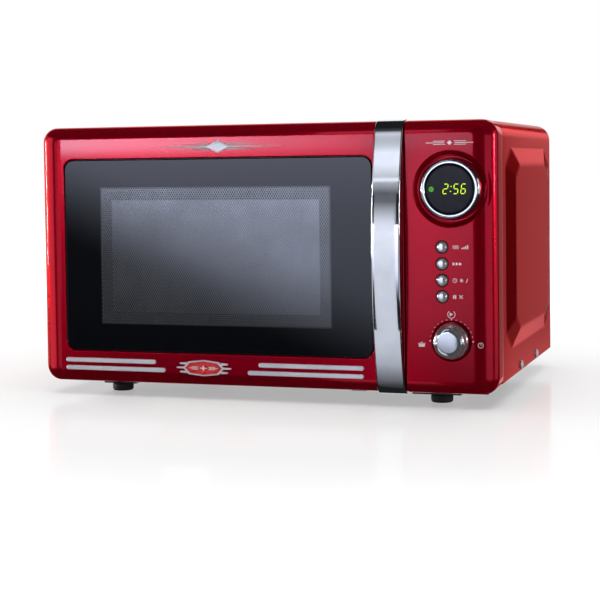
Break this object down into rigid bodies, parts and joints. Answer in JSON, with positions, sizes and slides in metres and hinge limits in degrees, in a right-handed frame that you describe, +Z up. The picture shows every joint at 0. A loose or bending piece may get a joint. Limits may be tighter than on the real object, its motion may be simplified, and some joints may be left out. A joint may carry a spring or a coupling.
{
  "type": "microwave oven",
  "caption": "Countertop microwave oven with a retro rounded front, side-hinged glass door, arched pull handle, round display, push buttons and a jog dial.",
  "frame": {"origin": "bottom centre of the whole oven, on the surface it stands on", "axes": "+X to the right seen from the front, +Y to the back, +Z up; the door faces -Y"},
  "size_m": [0.4576, 0.341, 0.2624],
  "materials": {
    "red_gloss": "metallic candy red, high gloss",
    "red_satin": "metallic red coat on sheet steel, satin gloss",
    "chrome_trim": "bright chrome plating",
    "black_glass": "dark tinted glass with a black printed back",
    "clear_glass": "clear glass",
    "bulb_glass": "clear lamp glass on a metal socket",
    "zinc_steel": "galvanised sheet",
    "bare_steel": "plain steel",
    "cavity_enamel": "light grey enamel paint",
    "black_plastic": "fine matte black",
    "white_plastic": "natural white moulding",
    "circuit_board": "green solder mask",
    "copper_coil": "varnished copper winding",
    "foot_rubber": "matte black rubber",
    "display_glow": "lit display segments and indicator",
    "panel_print": "pale screen-printed ink",
    "mica_sheet": "pressed mica, slightly mottled"
  },
  "bodies": {
    "cabinet": {"control_panel": "red_gloss", "outer_cover": "red_satin", "display_bezel": "chrome_trim", "display_lens": "black_glass", "oven_lamp": "bulb_glass", "base_plate": "zinc_steel", "rear_panel": "zinc_steel", "waveguide": "zinc_steel", "capacitor": "zinc_steel", "magnetron": "bare_steel", "transformer_core": "bare_steel", "fan_motor": "bare_steel", "turntable_motor": "bare_steel", "upper_hinge": "bare_steel", "lower_hinge": "bare_steel", "cover_screw_front": "bare_steel", "cover_screw_rear": "bare_steel", "encoder_body": "bare_steel", "cavity_shell": "cavity_enamel", "cord_gland": "black_plastic", "fan_shroud": "black_plastic", "interlock_bracket": "black_plastic", "lower_microswitch": "black_plastic", "upper_microswitch": "black_plastic", "control_board": "circuit_board", "transformer_winding": "copper_coil", "front_left_foot": "foot_rubber", "front_right_foot": "foot_rubber", "rear_left_foot": "foot_rubber", "rear_right_foot": "foot_rubber", "waveguide_cover": "mica_sheet"},
    "door": {"door_frame": "red_gloss", "door_glass": "black_glass", "door_inner_panel": "bare_steel", "choke_cover": "black_plastic", "inner_window": "clear_glass", "finger_well": "black_plastic", "door_handle": "chrome_trim", "trim_upper_left": "chrome_trim", "trim_lower_left": "chrome_trim", "trim_upper_right": "chrome_trim", "trim_lower_right": "chrome_trim", "badge_plate": "chrome_trim", "badge_inlay": "red_gloss", "emblem_ornament": "chrome_trim"},
    "latch": {"door_latch": "white_plastic"},
    "turntable": {"drive_coupler": "white_plastic", "glass_tray": "clear_glass"},
    "ring": {"roller_ring": "white_plastic"},
    "wheel_1": {"roller_wheel_1": "white_plastic"},
    "wheel_2": {"roller_wheel_2": "white_plastic"},
    "wheel_3": {"roller_wheel_3": "white_plastic"},
    "fan": {"fan_blades": "white_plastic"},
    "spindle": {"dial_spindle": "bare_steel"},
    "knob": {"dial_knob": "chrome_trim"},
    "power_button": {"power_button": "chrome_trim"},
    "express_button": {"express_button": "chrome_trim"},
    "defrost_button": {"defrost_button": "chrome_trim"},
    "cancel_button": {"cancel_button": "chrome_trim"}
  },
  "joints": [
    {"name": "door_hinge", "type": "hinge", "parent": "cabinet", "child": "door", "pos_m": [-0.21775, -0.14, 0.137], "axis": [0, 0, -1], "range_deg": [0, 95]},
    {"name": "latch_slide", "type": "slide", "parent": "door", "child": "latch", "axis": [0, 0, 1], "range_m": [0, 0.003], "stiffness_N_per_m": 350, "springref_m": -0.001},
    {"name": "turntable_spin", "type": "hinge", "parent": "cabinet", "child": "turntable", "pos_m": [-0.044, 0.018, 0.045], "axis": [0, 0, 1], "continuous": true},
    {"name": "ring_spin", "type": "hinge", "parent": "cabinet", "child": "ring", "pos_m": [-0.044, 0.018, 0.045], "axis": [0, 0, 1], "continuous": true},
    {"name": "wheel_1_spin", "type": "hinge", "parent": "ring", "child": "wheel_1", "pos_m": [-0.044, 0.108, 0.0448], "axis": [0, 1, 0], "continuous": true},
    {"name": "wheel_2_spin", "type": "hinge", "parent": "ring", "child": "wheel_2", "pos_m": [-0.12194, -0.027, 0.0448], "axis": [-0.866, -0.5, 0], "continuous": true},
    {"name": "wheel_3_spin", "type": "hinge", "parent": "ring", "child": "wheel_3", "pos_m": [0.03394, -0.027, 0.0448], "axis": [0.866, -0.5, 0], "continuous": true},
    {"name": "fan_spin", "type": "hinge", "parent": "cabinet", "child": "fan", "pos_m": [0.17, 0.136, 0.15], "axis": [0, 1, 0], "continuous": true},
    {"name": "power_button_press", "type": "slide", "parent": "cabinet", "child": "power_button", "axis": [0, 1, 0], "range_m": [0, 0.0015], "stiffness_N_per_m": 600, "springref_m": -0.001},
    {"name": "express_button_press", "type": "slide", "parent": "cabinet", "child": "express_button", "axis": [0, 1, 0], "range_m": [0, 0.0015], "stiffness_N_per_m": 600, "springref_m": -0.001},
    {"name": "defrost_button_press", "type": "slide", "parent": "cabinet", "child": "defrost_button", "axis": [0, 1, 0], "range_m": [0, 0.0015], "stiffness_N_per_m": 600, "springref_m": -0.001},
    {"name": "cancel_button_press", "type": "slide", "parent": "cabinet", "child": "cancel_button", "axis": [0, 1, 0], "range_m": [0, 0.0015], "stiffness_N_per_m": 600, "springref_m": -0.001},
    {"name": "dial_turn", "type": "hinge", "parent": "cabinet", "child": "spindle", "pos_m": [0.1845, -0.152, 0.0618], "axis": [0, -1, 0], "continuous": true},
    {"name": "dial_press", "type": "slide", "parent": "spindle", "child": "knob", "axis": [0, 1, 0], "range_m": [0, 0.001], "stiffness_N_per_m": 900, "springref_m": -0.001}
  ],
  "couplings": [
    {"joint": "ring_spin", "follows": "turntable_spin", "ratio": 0.5},
    {"joint": "wheel_1_spin", "follows": "turntable_spin", "ratio": -6.4286},
    {"joint": "wheel_2_spin", "follows": "turntable_spin", "ratio": -6.4286},
    {"joint": "wheel_3_spin", "follows": "turntable_spin", "ratio": -6.4286}
  ]
}
